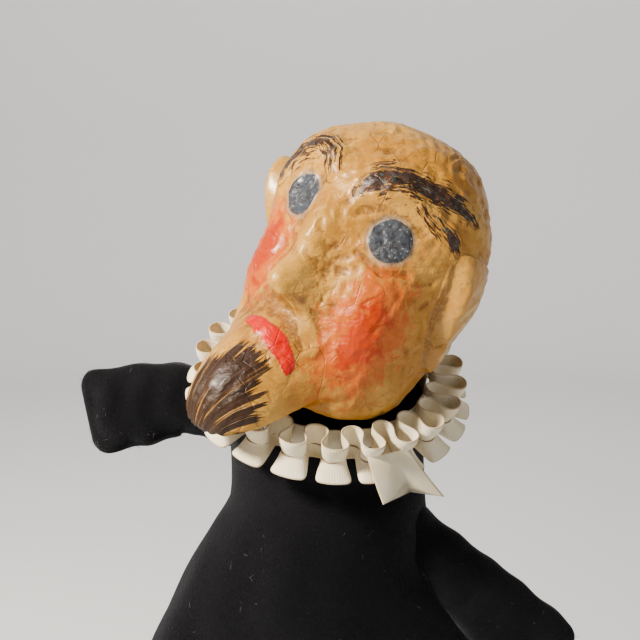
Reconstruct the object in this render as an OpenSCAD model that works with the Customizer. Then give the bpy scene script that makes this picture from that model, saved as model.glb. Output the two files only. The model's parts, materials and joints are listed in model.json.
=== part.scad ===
// Glove puppet: a papier-mache head on a finger tube, a pleated ruff and a felt gown
// with two mitt arms.  Millimetres, +Z up, the puppet looks along -Y.
// The origin is the middle of the hand opening at the bottom of the gown.

/* [Head] */
// Width of the skull across the temples
skull_w = 92; // [88:1:94]
// Height of the skull from jaw line to crown
skull_h = 96; // [94:1:98]
// Lean of the head towards the puppet's left shoulder, in degrees
head_lean = 25; // [20:1:26]
// Turn of the face towards the puppet's right shoulder, in degrees
head_yaw = 40; // [36:1:42]
// Wall of the hollow paper shell
shell_wall = 4; // [3:0.5:6]
// Inner radius of the tube that takes the finger
finger_r = 11; // [10:0.25:11]
// Length of the finger tube
tube_len = 60; // [50:1:62]

/* [Ruff] */
// Mean radius of the pleated ruff
ruff_r = 52; // [51:0.5:53]
// Depth of the pleats in and out of that radius, each way
pleat_amp = 5.5; // [4:0.5:5.5]
// Number of pleats
pleat_n = 24; // [18:1:26]
// Height of the ruff strip
ruff_h = 16; // [13:1:16]

/* [Gown] */
// Thickness of the felt
felt = 1.8; // [1.2:0.1:2]
// Height of the collar's middle above the hem
collar_z = 288; // [286:1:290]
// Depth of the facing turned up inside the hem
facing_h = 18; // [10:1:24]

/* [Arms] */
// Length of each upper sleeve
sleeve_len = 36; // [34:1:38]
// Length of each mitt
mitt_len = 46; // [40:1:48]

/* [Hidden] */

collar_at = [-3.5, 0, collar_z];
collar_pitch = 24;
collar_roll = 9;
deg = PI / 180;
felt_black = [0.05, 0.05, 0.06];
cotton = [0.9, 0.86, 0.76];
ochre = [0.85, 0.66, 0.36];
card = [0.66, 0.52, 0.36];

// ---- solids made of closed loops -----------------------------------------------------
// Triangles that join loop k to loop k+1, each loop being m points
function sides(k0, k1, m) = [for (k = [k0:k1 - 1], i = [0:m - 1])
    let (a = k * m + i, b = k * m + (i + 1) % m, c = a + m, d = b + m)
    each [[a, c, b], [b, c, d]]];
// Cap over a C-shaped loop: m/2 outer points, then m/2 inner points running back
function cap(k, m, up) = [for (i = [0:m / 2 - 2])
    let (a = k * m + i, b = a + 1, d = k * m + m - 1 - i, c = d - 1)
    each (up ? [[a, d, b], [b, d, c]] : [[a, b, d], [b, c, d]])];
module c_loft(loops) {
    m = len(loops[0]);
    n = len(loops);
    polyhedron([for (l = loops) each l],
               concat(sides(0, n - 1, m), cap(0, m, false), cap(n - 1, m, true)));
}

// ---- gown body -----------------------------------------------------------------------
// Rows: height, left edge, right edge, half depth, lean with the collar, first and last
// angle of the back panel, first and last angle of the front panel (0 is +X, 90 is back)
skirt_rows = [[0, -108, 104, 58, 0, 0, 180, 180, 360],
              [40, -105, 97, 56, 0, 0, 180, 180, 360],
              [100, -98, 85, 53, 0, 0, 180, 180, 360],
              [140, -93, 64, 52, 0, 0, 180, 180, 360],
              [170, -89, 48, 52, 0, 0, 180, 180, 360]];
bodice_rows = [[163, -84, 40, 42, 0, 0, 180, 180, 360],
               [178, -81, 40, 41, 0, 0, 180, 180, 360],
               [192, -74, 37, 39, 0, 0, 180, 180, 360],
               [200, -70, 33, 38, 0, 0, 180, 180, 360],
               [206, -67, 29, 38, 0, 0, 180, 180, 360],
               [208, -66, 34, 38, 0, 12, 180, 180, 300],
               [226, -54, 40, 37, 0, 12, 180, 180, 300],
               [240, -46, 41, 36, 0, 12, 180, 180, 300],
               [242, -46, 41, 36, 0, 0, 180, 180, 360],
               [246, -45.5, 41, 36, 0.1, 0, 180, 180, 360],
               [248, -45, 40.5, 36, 0.2, 0, 108, 180, 360],
               [253, -45, 40, 36, 0.4, 0, 108, 180, 360],
               [261, -45, 39, 36, 0.7, 0, 108, 180, 360],
               [268, -44, 38, 35, 1, 0, 108, 180, 360]];
gown_y = 2;
panel_steps = 20;
// Height of a point that leans with the collar's plane
function leaned(z, x, y, k) = z + k * (-0.158 * (x - collar_at[0]) + 0.45 * y);
function gown_arc(row, t0, t1, inset) =
    let (cx = (row[1] + row[2]) / 2, a = (row[2] - row[1]) / 2 - inset, b = row[3] - inset)
    [for (i = [0:panel_steps])
        let (t = t0 + (t1 - t0) * i / panel_steps, x = cx + a * cos(t), y = gown_y + b * sin(t))
        [x, y, leaned(row[0], x, y, row[4])]];
function panel_loop(row, t0, t1) =
    concat(gown_arc(row, t0, t1, 0), gown_arc(row, t1, t0, felt));
module panel(rows, back) {
    c_loft([for (r = rows) back ? panel_loop(r, r[5], r[6]) : panel_loop(r, r[7], r[8])]);
}
module skirt_front() { color(felt_black) panel(skirt_rows, false); }
module skirt_back() { color(felt_black) panel(skirt_rows, true); }
module bodice_front() { color(felt_black) panel(bodice_rows, false); }
module bodice_back() { color(felt_black) panel(bodice_rows, true); }

// Facing: a closed band just inside the bottom of the skirt
facing_t = 1;
facing_gap = 0.5;
facing_steps = 48;
function facing_ring(t) =
    let (r = skirt_rows[0], q = skirt_rows[1], k = facing_h / q[0],
         in0 = felt + facing_gap, in1 = in0 + facing_t)
    [for (c = [[0.2, 0, in0], [0.2, 0, in1], [facing_h, k, in1], [facing_h, k, in0]])
        let (left = r[1] + (q[1] - r[1]) * c[1], right = r[2] + (q[2] - r[2]) * c[1],
             half = r[3] + (q[3] - r[3]) * c[1])
        [(left + right) / 2 + ((right - left) / 2 - c[2]) * cos(t),
         gown_y + (half - c[2]) * sin(t), c[0]]];
module hem_facing() {
    n = facing_steps;
    color(felt_black)
        polyhedron([for (i = [0:n - 1]) each facing_ring(360 * i / n)],
                   [for (i = [0:n - 1], j = [0:3])
                       let (a = 4 * i + j, b = 4 * i + (j + 1) % 4,
                            c = 4 * ((i + 1) % n) + j, d = 4 * ((i + 1) % n) + (j + 1) % 4)
                       each [[a, c, b], [b, c, d]]]);
}

// ---- arms ----------------------------------------------------------------------------
right_shoulder = [-36, 16, 266];
right_rise = 24;
right_droop = -10;
left_shoulder = [35, -6, 224];
left_rise = -45;
arm_steps = 10;
seam_pow = 0.78;
elbow_gap = 2.4;
function arm_dir(sg, a) = [sg * cos(a), 0, sin(a)];
function arm_up(sg, a) = [-sg * sin(a), 0, cos(a)];
function soft_pow(v) = sign(v) * pow(abs(v), seam_pow);
// Half of a flattened tube: y below 0 is the front half
function arm_arc(at, up, hh, hd, t0, t1) = [for (i = [0:arm_steps])
    let (t = t0 + (t1 - t0) * i / arm_steps)
    at + up * hh * soft_pow(cos(t)) + [0, hd * soft_pow(sin(t)), 0]];
// Rows: distance along, half height, half depth, 1 where hollow, angle of the row's up line
module arm_half(root, sg, rise, rows, back) {
    t0 = back ? 0 : 180;
    c_loft([for (r = rows)
        let (at = root + arm_dir(sg, rise) * r[0], up = arm_up(sg, r[4]),
             wall = r[3] == 1 ? felt : 0, inner_h = r[1] - felt,
             inner_d = r[3] == 1 ? r[2] - felt : 0.01)
        sg < 0
            ? concat(arm_arc(at, up, r[1], r[2], t0, t0 + 180),
                     arm_arc(at, up, inner_h, inner_d, t0 + 180, t0))
            : concat(arm_arc(at, up, r[1], r[2], t0 + 180, t0),
                     arm_arc(at, up, inner_h, inner_d, t0, t0 + 180))]);
}
function sleeve_rows(rise, end_up) = [[0, 12, 9.5, 1, rise], [sleeve_len * 0.4, 12.5, 9.5, 1, rise],
    [sleeve_len * 0.75, 13.5, 9.5, 1, rise], [sleeve_len, 14.5, 9.5, 1, end_up]];
function mitt_rows(rise, start_up) = [[elbow_gap, 15, 9.5, 1, start_up],
    [mitt_len * 0.3, 17.5, 9.5, 1, rise], [mitt_len * 0.65, 19, 8.5, 1, rise],
    [mitt_len * 0.85, 18.5, 6.5, 1, rise], [mitt_len * 0.95, 16.5, 4, 0, rise],
    [mitt_len, 12, 1.8, 0, rise]];
right_mid = (right_rise + right_droop) / 2;
right_elbow = right_shoulder + arm_dir(-1, right_rise) * sleeve_len;
left_elbow = left_shoulder + arm_dir(1, left_rise) * sleeve_len;
module sleeve_right(back) {
    arm_half(right_shoulder, -1, right_rise, sleeve_rows(right_rise, right_mid), back);
}
module mitt_right(back) {
    arm_half(right_elbow, -1, right_droop, mitt_rows(right_droop, right_mid), back);
}
module sleeve_left(back) {
    arm_half(left_shoulder, 1, left_rise, sleeve_rows(left_rise, left_rise), back);
}
module mitt_left(back) {
    arm_half(left_elbow, 1, left_rise, mitt_rows(left_rise, left_rise), back);
}
module sleeve_right_front() { color(felt_black) sleeve_right(false); }
module sleeve_right_back() { color(felt_black) sleeve_right(true); }
module mitt_right_front() { color(felt_black) mitt_right(false); }
module mitt_right_back() { color(felt_black) mitt_right(true); }
module sleeve_left_front() { color(felt_black) sleeve_left(false); }
module sleeve_left_back() { color(felt_black) sleeve_left(true); }
module mitt_left_front() { color(felt_black) mitt_left(false); }
module mitt_left_back() { color(felt_black) mitt_left(true); }

// ---- collar and ruff -----------------------------------------------------------------
yoke_hole_r = 26;
yoke_r = 43.8;
yoke_drop = 5;
tape_r = 44.4;
tape_t = 1;
tape_h = 10;
thread_r = 0.45;
strip_t = 1.2;
pleat_steps = 12;
module collar_pose() {
    translate(collar_at) rotate([0, collar_roll, 0]) rotate([collar_pitch, 0, 0]) children();
}
module neck_yoke() {
    color(felt_black) collar_pose() rotate_extrude($fn = 64)
        polygon([[yoke_hole_r, 0], [yoke_r, -yoke_drop], [yoke_r, -yoke_drop + felt],
                 [yoke_hole_r, felt]]);
}
module ruff_tape() {
    color(cotton) collar_pose() translate([0, 0, -tape_h / 2]) difference() {
        cylinder(h = tape_h, r = tape_r + tape_t, $fn = 96);
        translate([0, 0, -1]) cylinder(h = tape_h + 2, r = tape_r, $fn = 96);
    }
}
// The pleats: a wave round the ring, thickened along its own normal
function pleat_r(t) = ruff_r + pleat_amp * sin(pleat_n * t);
function pleat_half(t) =
    strip_t / 2 * sqrt(1 + pow(pleat_amp * pleat_n * cos(pleat_n * t) / ruff_r, 2) * 0.35);
function pleat_line(side) = [for (i = [0:pleat_n * pleat_steps - 1])
    let (t = 360 * i / (pleat_n * pleat_steps), r = pleat_r(t) + side * pleat_half(t))
    [r * cos(t), r * sin(t)]];
module ruff_strip() {
    color(cotton) collar_pose() translate([0, 0, -ruff_h / 2]) linear_extrude(ruff_h)
        difference() {
            polygon(pleat_line(1));
            polygon(pleat_line(-1));
        }
}
module ruff_thread() {
    color([0.95, 0.93, 0.86]) collar_pose() rotate_extrude($fn = 96)
        translate([ruff_r, 0]) circle(r = thread_r, $fn = 16);
}

// ---- head ----------------------------------------------------------------------------
neck_r = 17;
head_rise = 2;
neck_top = 7.7;
neck_low = -13;
neck_fit = 0.4;
tube_wall = 1.5;
tube_low = -16;
tie_r = 0.9;
module head_pose() {
    translate(collar_at) rotate([0, head_lean, 0]) rotate([0, 0, -head_yaw])
        translate([0, 0, head_rise]) children();
}
// Directions are measured from this point inside the skull
eye_of_skull = [0, 0, 55];
skull_balls = [[[0, -10, 69], [skull_w / 2, 41, skull_h / 2]],
               [[0, -14, 42], [42.5, 36, 41]]];
blend_mm = 2.5;
// The beard is cut away below, where it hangs over the ruff
beard_under = 6;
// Lumps: target point, width across, width up, power, height; the last says if it is a pair
lumps = [[[0, -66, -27], 24, 26, 1.5, 36, false],
         [[0, -50, 6], 23, 17, 1, 8, false],
         [[0, -68, 37], 11, 9.5, 1.1, 14, false],
         [[0, -56, 58], 9, 17, 1, 8, false],
         [[10, -56, 34], 6, 6, 1, 3, true],
         [[20, -43, 89], 17, 7, 1, 4, true],
         [[28, -37, 36], 15, 17, 1, 5, true],
         [[27, -37, 71], 8, 8, 1.2, 2, true],
         [[22, -38, 75], 11, 12, 1, -3, true],
         [[0, -59, 18], 14, 4, 1, 3.5, false],
         [[0, -58, 8], 12, 4.5, 1, 3.5, false],
         [[36, -6, 22], 18, 18, 1, 5, true]];
// Far root of the ray against an ellipsoid that holds its start
function ball_reach(d, ball) =
    let (o = [for (i = [0:2]) (eye_of_skull[i] - ball[0][i]) / ball[1][i]],
         v = [for (i = [0:2]) d[i] / ball[1][i]], a = v * v, b = v * o, c = o * o - 1)
    (-b + sqrt(b * b - a * c)) / a;
function lump_at(d, p, across, up, power) =
    let (q = p - eye_of_skull, reach = norm(q), n = q / reach,
         ex = cross(n, [0, 0, 1]) / norm(cross(n, [0, 0, 1])), ev = cross(ex, n), c = d * n,
         u = atan2(d * ex, c) * deg * reach / across, rise = atan2(d * ev, c) * deg * reach,
         v = rise / (p[2] < 0 && rise < 0 ? beard_under : up))
    c > 0 ? exp(-pow(u * u + v * v, power)) : 0;
function mirrored(p) = [-p[0], p[1], p[2]];
function all_lumps(d) = [for (l = lumps)
    l[4] * (lump_at(d, l[0], l[1], l[2], l[3])
            + (l[5] ? lump_at(d, mirrored(l[0]), l[1], l[2], l[3]) : 0))];
function sum(v, i = 0) = i < len(v) ? v[i] + sum(v, i + 1) : 0;
function head_reach(d) =
    blend_mm * ln(sum([for (b = skull_balls) exp(ball_reach(d, b) / blend_mm)]))
    + sum(all_lumps(d));
function ray(down, round) = [sin(down) * sin(round), -sin(down) * cos(round), -cos(down)];
rim_angle = 20.4;
shell_round = 44;
shell_rows = 30;
hollow_rows = 10;
hollow = [[0, -2, 66], [42, 38, 52]];
function outer_at(down, round) =
    let (d = ray(down, round)) eye_of_skull + d * head_reach(d);
function inner_at(down, round) =
    let (d = ray(down, round))
    eye_of_skull + d * min(head_reach(d) - shell_wall, ball_reach(d, hollow));
// One closed skin: down the inside from the crown, round the rim, up the outside
module head_shell() {
    m = shell_round;
    rows = concat(
        [for (k = [1:hollow_rows])
            [for (i = [0:m - 1]) inner_at(180 - (180 - rim_angle) * k / hollow_rows, 360 * i / m)]],
        [for (k = [0:shell_rows - 1])
            [for (i = [0:m - 1]) outer_at(rim_angle + (180 - rim_angle) * k / shell_rows, 360 * i / m)]]);
    n = len(rows);
    points = concat([for (r = rows) each r], [inner_at(180, 0), outer_at(180, 0)]);
    faces = concat(sides(0, n - 1, m),
                   [for (i = [0:m - 1]) [i, (i + 1) % m, n * m]],
                   [for (i = [0:m - 1]) [(n - 1) * m + (i + 1) % m, (n - 1) * m + i, n * m + 1]]);
    color(ochre) head_pose() polyhedron(points, faces);
}
module round_sleeve(low, high, inner, outer) {
    translate([0, 0, low]) difference() {
        cylinder(h = high - low, r = outer, $fn = 64);
        translate([0, 0, -1]) cylinder(h = high - low + 2, r = inner, $fn = 64);
    }
}
module neck_collar() {
    color(ochre) head_pose() round_sleeve(neck_low, neck_top, finger_r + tube_wall, neck_r);
}
module neck_bead() {
    color(ochre) head_pose() round_sleeve(tube_low + 0.4, neck_low - 0.4, finger_r + tube_wall,
                                          neck_r + 1.6);
}
module finger_tube() {
    color(card) head_pose() round_sleeve(tube_low, tube_low + tube_len, finger_r,
                                         finger_r + tube_wall);
}
module tube_end_disc() {
    color(card) head_pose() translate([0, 0, tube_low + tube_len])
        cylinder(h = 1.6, r = finger_r + tube_wall, $fn = 64);
}
module gown_neck() {
    color(felt_black) head_pose()
        round_sleeve(neck_low + 0.6, neck_low + 12, neck_r + neck_fit, neck_r + neck_fit + felt);
}
module neck_tie() {
    color([0.12, 0.11, 0.1]) head_pose() translate([0, 0, neck_low + 6])
        rotate_extrude($fn = 64) translate([neck_r + neck_fit + felt + tie_r, 0])
            circle(r = tie_r, $fn = 16);
}
// Ears: pads that follow the shell's skin, thick along a curved rim
ear_grid = 12;
ear_gap = 0.35;
ear_lift = 9;
function ear_thick(u, v) =
    0.8 + ear_lift * (exp(-pow((u - 0.15 + 0.35 * v * v) / 0.38, 2)) - 0.1) * pow(cos(90 * v), 0.7)
        * max(0, 1 - u * u);
function ear_point(side, i, j, outer) =
    let (u = 2 * i / ear_grid - 1, v = 2 * j / ear_grid - 1,
         d = ray(88 + 30 * v, side * (94 + 15 * u)))
    eye_of_skull + d * (head_reach(d) + ear_gap + (outer ? max(0.5, ear_thick(u, v)) : 0));
module ear(side) {
    g = ear_grid + 1;
    near = [for (j = [0:ear_grid], i = [0:ear_grid]) ear_point(side, i, j, false)];
    far = [for (j = [0:ear_grid], i = [0:ear_grid]) ear_point(side, i, j, true)];
    edge = concat([for (i = [0:ear_grid - 1]) i], [for (j = [0:ear_grid - 1]) j * g + ear_grid],
                  [for (i = [0:ear_grid - 1]) g * g - 1 - i],
                  [for (j = [0:ear_grid - 1]) (ear_grid - j) * g]);
    faces = concat(
        [for (j = [0:ear_grid - 1], i = [0:ear_grid - 1])
            let (a = j * g + i, b = a + 1, c = a + g, d = c + 1) each [[a, c, b], [b, c, d]]],
        [for (j = [0:ear_grid - 1], i = [0:ear_grid - 1])
            let (a = j * g + i + g * g, b = a + 1, c = a + g, d = c + 1)
            each [[a, b, c], [b, d, c]]],
        [for (k = [0:len(edge) - 1])
            let (a = edge[k], b = edge[(k + 1) % len(edge)], c = a + g * g, d = b + g * g)
            each [[a, b, c], [b, d, c]]]);
    flipped = [for (f = faces) [f[0], f[2], f[1]]];
    color(ochre) head_pose() polyhedron(concat(near, far), side < 0 ? faces : flipped);
}
module ear_right() { ear(-1); }
module ear_left() { ear(1); }

skirt_front();
skirt_back();
hem_facing();
bodice_front();
bodice_back();
sleeve_right_front();
sleeve_right_back();
mitt_right_front();
mitt_right_back();
sleeve_left_front();
sleeve_left_back();
mitt_left_front();
mitt_left_back();
neck_yoke();
ruff_strip();
ruff_tape();
ruff_thread();
gown_neck();
neck_tie();
head_shell();
neck_collar();
neck_bead();
finger_tube();
tube_end_disc();
ear_right();
ear_left();
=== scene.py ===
import json

import bpy
import numpy as np
from bpy.props import FloatProperty, FloatVectorProperty, IntProperty, PointerProperty
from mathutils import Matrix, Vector


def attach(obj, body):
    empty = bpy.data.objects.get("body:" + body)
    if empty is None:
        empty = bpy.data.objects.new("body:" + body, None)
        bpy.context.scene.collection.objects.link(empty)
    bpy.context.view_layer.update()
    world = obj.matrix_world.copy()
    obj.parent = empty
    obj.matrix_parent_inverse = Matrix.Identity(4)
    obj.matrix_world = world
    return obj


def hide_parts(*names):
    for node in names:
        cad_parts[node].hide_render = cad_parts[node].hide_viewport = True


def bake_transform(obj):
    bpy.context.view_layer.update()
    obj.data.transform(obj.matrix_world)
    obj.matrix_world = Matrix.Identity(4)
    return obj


bl_info = {
    "name": "Glove Puppet",
    "version": (1, 0, 0),
    "blender": (4, 5, 0),
    "location": "3D View > Sidebar > Puppet",
    "description": "Builds the soft and painted pieces of a glove puppet on its packed frame",
    "category": "Object",
}

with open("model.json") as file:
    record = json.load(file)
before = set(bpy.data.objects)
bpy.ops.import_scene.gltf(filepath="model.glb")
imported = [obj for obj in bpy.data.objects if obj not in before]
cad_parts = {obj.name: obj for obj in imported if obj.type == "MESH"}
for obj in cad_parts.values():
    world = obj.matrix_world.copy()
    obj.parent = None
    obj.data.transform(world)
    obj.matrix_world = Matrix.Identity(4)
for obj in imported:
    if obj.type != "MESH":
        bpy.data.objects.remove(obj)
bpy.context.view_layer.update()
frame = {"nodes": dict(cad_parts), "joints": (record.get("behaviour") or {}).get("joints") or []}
PIVOT = {j["name"]: np.array(j["pos_m"]) * 1000 for j in frame["joints"]}
MM = 0.001
TAU = 2 * np.pi

# ---- places, in millimetres ------------------------------------------------------------


def turn_x(deg):
    """Right-handed turn about X as a matrix."""
    c, s = np.cos(np.radians(deg)), np.sin(np.radians(deg))
    return np.array([[1, 0, 0], [0, c, -s], [0, s, c]])


def turn_y(deg):
    """Right-handed turn about Y as a matrix."""
    c, s = np.cos(np.radians(deg)), np.sin(np.radians(deg))
    return np.array([[c, 0, s], [0, 1, 0], [-s, 0, c]])


def turn_z(deg):
    """Right-handed turn about Z as a matrix."""
    c, s = np.cos(np.radians(deg)), np.sin(np.radians(deg))
    return np.array([[c, -s, 0], [s, c, 0], [0, 0, 1]])


COLLAR = PIVOT["head_turn"]
COLLAR_TURN = turn_y(9) @ turn_x(24)
COLLAR_UP = COLLAR_TURN[:, 2]
RUFF_TURN = turn_y(5) @ turn_x(26)
RUFF_LIFT = 6.0
HEAD_LOOK = 40
HEAD_TURN = turn_y(25) @ turn_z(-HEAD_LOOK)
HEAD_RISE = 2.0
SKULL_MIDDLE = np.array([0.0, 0.0, 55.0])


def on_collar(points):
    """Points of the ruff's own frame, carried to the row frame."""
    return COLLAR + points @ COLLAR_TURN.T


def on_ruff(points):
    """Points of the pleated strip's frame: the collar's, a little higher and rolled more."""
    return COLLAR + [1.0, 0, 0] + RUFF_LIFT * COLLAR_UP + points @ RUFF_TURN.T


def on_head(points):
    """Points of the head's own frame (X its left, -Y forward, Z up), carried to the row frame."""
    return COLLAR + (points + [0, 0, HEAD_RISE]) @ HEAD_TURN.T


# ---- meshes from grids -----------------------------------------------------------------


def rolled(grid, axis, closed):
    """Central differences of a grid of points along an axis, joined up where it is closed."""
    if closed:
        return np.roll(grid, -1, axis) - np.roll(grid, 1, axis)
    return np.gradient(grid, axis=axis)


def grid_normals(grid, closed_rows=False, closed_cols=True):
    """Unit normals: the column direction crossed with the row direction."""
    n = np.cross(rolled(grid, 1, closed_cols), rolled(grid, 0, closed_rows))
    return n / np.maximum(np.linalg.norm(n, axis=-1, keepdims=True), 1e-9)


def grid_object(name, grid, closed_rows=False, poles=(), uv=None, marks=None):
    """A mesh over a grid of points in millimetres, joined up across its columns.  Each cell
    is a quad that runs from row i to i+1 and column j to j+1; poles are (row, point) fans
    that close a first or last row.  uv is a grid of (u, v) in metres and marks a dict of one
    value for each point."""
    rows, cols = grid.shape[:2]
    index = np.arange(rows * cols).reshape(rows, cols)
    right = np.roll(index, -1, 1)
    quads = np.stack([index, right, np.roll(right, -1, 0), np.roll(index, -1, 0)], -1)
    quads = (quads if closed_rows else quads[:-1]).reshape(-1, 4)
    points = [grid.reshape(-1, 3)]
    fans = []
    for row, point in poles:
        ring = index[row]
        tip = rows * cols + len(points) - 1
        after = np.roll(ring, -1)
        pair = (after, ring) if row == 0 else (ring, after)
        fans.append(np.stack([pair[0], pair[1], np.full(cols, tip)], -1))
        points.append(np.asarray(point, float)[None])
    points = np.concatenate(points) * MM
    loops = np.concatenate([quads.ravel()] + [f.ravel() for f in fans])
    counts = np.concatenate([np.full(len(quads), 4)] + [np.full(len(f), 3) for f in fans])
    mesh = bpy.data.meshes.new(name)
    mesh.vertices.add(len(points))
    mesh.vertices.foreach_set("co", points.astype(np.float32).ravel())
    mesh.loops.add(len(loops))
    mesh.loops.foreach_set("vertex_index", loops.astype(np.int32))
    mesh.polygons.add(len(counts))
    mesh.polygons.foreach_set("loop_start", (np.cumsum(counts) - counts).astype(np.int32))
    mesh.polygons.foreach_set("use_smooth", np.ones(len(counts), bool))
    if uv is not None:
        layer = mesh.uv_layers.new(name="UVMap")
        at_poles = np.repeat(uv[-1:, 0], len(points) - rows * cols, 0)
        flat = np.concatenate([uv.reshape(-1, 2), at_poles])
        layer.data.foreach_set("uv", flat[loops].astype(np.float32).ravel())
    for key, values in (marks or {}).items():
        held = mesh.attributes.new(key, "FLOAT", "POINT")
        padded = np.zeros(len(points), np.float32)
        padded[: rows * cols] = values.ravel()
        padded[rows * cols:] = values.ravel()[-1]
        held.data.foreach_set("value", padded)
    mesh.update(calc_edges=True)
    mesh.validate()
    return placed(name, mesh)


def placed(name, data):
    """An object for that data, linked to the scene."""
    obj = bpy.data.objects.new(name, data)
    bpy.context.scene.collection.objects.link(obj)
    return obj


def two_faced(grid, thickness):
    """Rows of the outer face, then the inner face's rows running back, so that closing the
    rows gives a solid cloth of that thickness below the outer face.  A row close to each
    edge keeps the shading of the rim off the face."""
    inner = grid - grid_normals(grid) * thickness
    near_first = grid[:1] * 0.97 + grid[1:2] * 0.03
    near_last = grid[-1:] * 0.97 + grid[-2:-1] * 0.03
    face = np.concatenate([grid[:1], near_first, grid[1:-1], near_last, grid[-1:]])
    return np.concatenate([face, inner[::-1]])


def cloth_area(grid, closed_cols=True):
    """Sum of the cells' areas: half the cross product of each cell's diagonals, in m2."""
    if closed_cols:
        grid = np.concatenate([grid, grid[:, :1]], 1)
    d = np.cross(grid[1:, 1:] - grid[:-1, :-1], grid[1:, :-1] - grid[:-1, 1:])
    return float(np.linalg.norm(d, axis=-1).sum() / 2) * MM * MM


def ring_points(r, angle, z):
    """Points at distances r and heights z round the Z axis."""
    return np.stack(np.broadcast_arrays(r * np.cos(angle), r * np.sin(angle), z), -1)


def round_length(ring):
    """Length of a closed line of points, in metres."""
    return float(np.linalg.norm(np.roll(ring, -1, 0) - ring, axis=-1).sum()) * MM


def eased(f):
    """0 to 1 with a soft start and end."""
    f = np.clip(f, 0, 1)
    return f * f * (3 - 2 * f)


def read_rows(at, rows, column, span):
    """A column of a table read at given places, its corners rounded by a running mean."""
    rows = np.asarray(rows, float)
    step = 0.5
    fine = np.arange(rows[0, 0], rows[-1, 0] + step, step)
    values = np.interp(fine, rows[:, 0], rows[:, column])
    n = max(1, int(span / step)) | 1
    edged = np.pad(values, n // 2, mode="reflect", reflect_type="odd")
    return np.interp(at, fine, np.convolve(edged, np.ones(n) / n, "valid"))


def waves(points, seed, count, longest, shortest):
    """Smooth noise from -1 to 1: the mean of sine waves with random directions, phases and
    lengths between the longest and the shortest."""
    rng = np.random.default_rng(seed)
    way = rng.normal(size=(count, 3))
    way /= np.linalg.norm(way, axis=1, keepdims=True)
    way *= (TAU / rng.uniform(shortest, longest, count))[:, None]
    phase = rng.uniform(0, TAU, count)
    return np.sin(points @ way.T + phase).sum(-1) / np.sqrt(count)


# ---- materials -------------------------------------------------------------------------


class Value:
    """A socket of a material; arithmetic on it adds Math nodes."""

    def __init__(self, finish, socket):
        self.finish, self.socket = finish, socket

    def math(self, operation, *others):
        return self.finish.math(operation, self, *others)

    def __add__(self, other):
        return self.math("ADD", other)

    __radd__ = __add__

    def __sub__(self, other):
        return self.math("SUBTRACT", other)

    def __rsub__(self, other):
        return self.finish.math("SUBTRACT", other, self)

    def __mul__(self, other):
        return self.math("MULTIPLY", other)

    __rmul__ = __mul__

    def __truediv__(self, other):
        return self.math("DIVIDE", other)

    def max(self, other):
        return self.math("MAXIMUM", other)

    def step(self, low, high):
        """0 below low, 1 above high (or the other way round), smooth between."""
        flip = low > high
        values = {0: self, 1: min(low, high), 2: max(low, high), 3: float(flip), 4: 1.0 - flip}
        return self.finish.node("ShaderNodeMapRange", {"interpolation_type": "SMOOTHSTEP"}, values)


class Finish:
    """A material under construction."""

    def __init__(self, name, **constants):
        self.material = bpy.data.materials.new(name)
        self.material.use_nodes = True
        self.tree = self.material.node_tree
        self.shader = self.tree.nodes["Principled BSDF"]
        for key, value in constants.items():
            self.shader.inputs[key.replace("_", " ")].default_value = value

    def node(self, kind, settings=None, values=None, out=0):
        """Adds a node: settings are set first, then values are set on its sockets or linked."""
        made = self.tree.nodes.new(kind)
        for key, value in (settings or {}).items():
            setattr(made, key, value)
        for key, value in (values or {}).items():
            self.put(made.inputs[key], value)
        return Value(self, made.outputs[out])

    def put(self, socket, value):
        if isinstance(value, Value):
            self.tree.links.new(value.socket, socket)
        elif socket.type == "RGBA" and len(value) == 3:
            socket.default_value = (*value, 1)
        else:
            socket.default_value = value

    def math(self, operation, *terms):
        return self.node("ShaderNodeMath", {"operation": operation}, dict(enumerate(terms)))

    def mix(self, amount, low, high):
        """Colour low where amount is 0 and high where it is 1."""
        return self.node("ShaderNodeMix", {"data_type": "RGBA"}, {0: amount, 6: low, 7: high}, 2)

    def place(self, stretch=(1, 1, 1)):
        """Object coordinates in metres, stretched along the axes."""
        at = self.node("ShaderNodeTexCoord", out=3)
        return self.node("ShaderNodeMapping", None, {0: at, 3: stretch})

    def cloth_place(self):
        """The piece's own UV map, in metres."""
        at = self.node("ShaderNodeUVMap", {"uv_map": "UVMap"})
        return self.node("ShaderNodeMapping", None, {0: at})

    def mark(self, name):
        """A value painted on the points of the mesh."""
        return self.node("ShaderNodeAttribute", {"attribute_name": name}, out=2)

    def noise(self, at, size, detail=2.0, warp=0.0):
        """Cloudy noise about 0.5 with features of that size in metres."""
        values = {"Vector": at, "Scale": 1 / size, "Detail": detail, "Distortion": warp}
        return self.node("ShaderNodeTexNoise", None, values)

    def cells(self, at, size, feature="F1"):
        """Distances in a cell pattern of that size in metres."""
        values = {"Vector": at, "Scale": 1 / size}
        return self.node("ShaderNodeTexVoronoi", {"feature": feature}, values)

    def joined(self, x, y, z=0.0):
        return self.node("ShaderNodeCombineXYZ", None, {0: x, 1: y, 2: z})

    def bump(self, height, depth, strength):
        """Normals of a surface raised by height times depth in metres."""
        values = {"Height": height, "Distance": depth, "Strength": strength}
        return self.node("ShaderNodeBump", None, values)

    def done(self, **sockets):
        for key, value in sockets.items():
            self.put(self.shader.inputs[key.replace("_", " ")], value)
        return self.material


PAPER_BUMP = 0.0011


def tinted(colour, by, add=0.0):
    """The colour with each part multiplied and raised, up to 1."""
    by = by if hasattr(by, "__len__") else (by,) * 3
    return tuple(min(1, c * k + add) for c, k in zip(colour, by))


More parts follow.
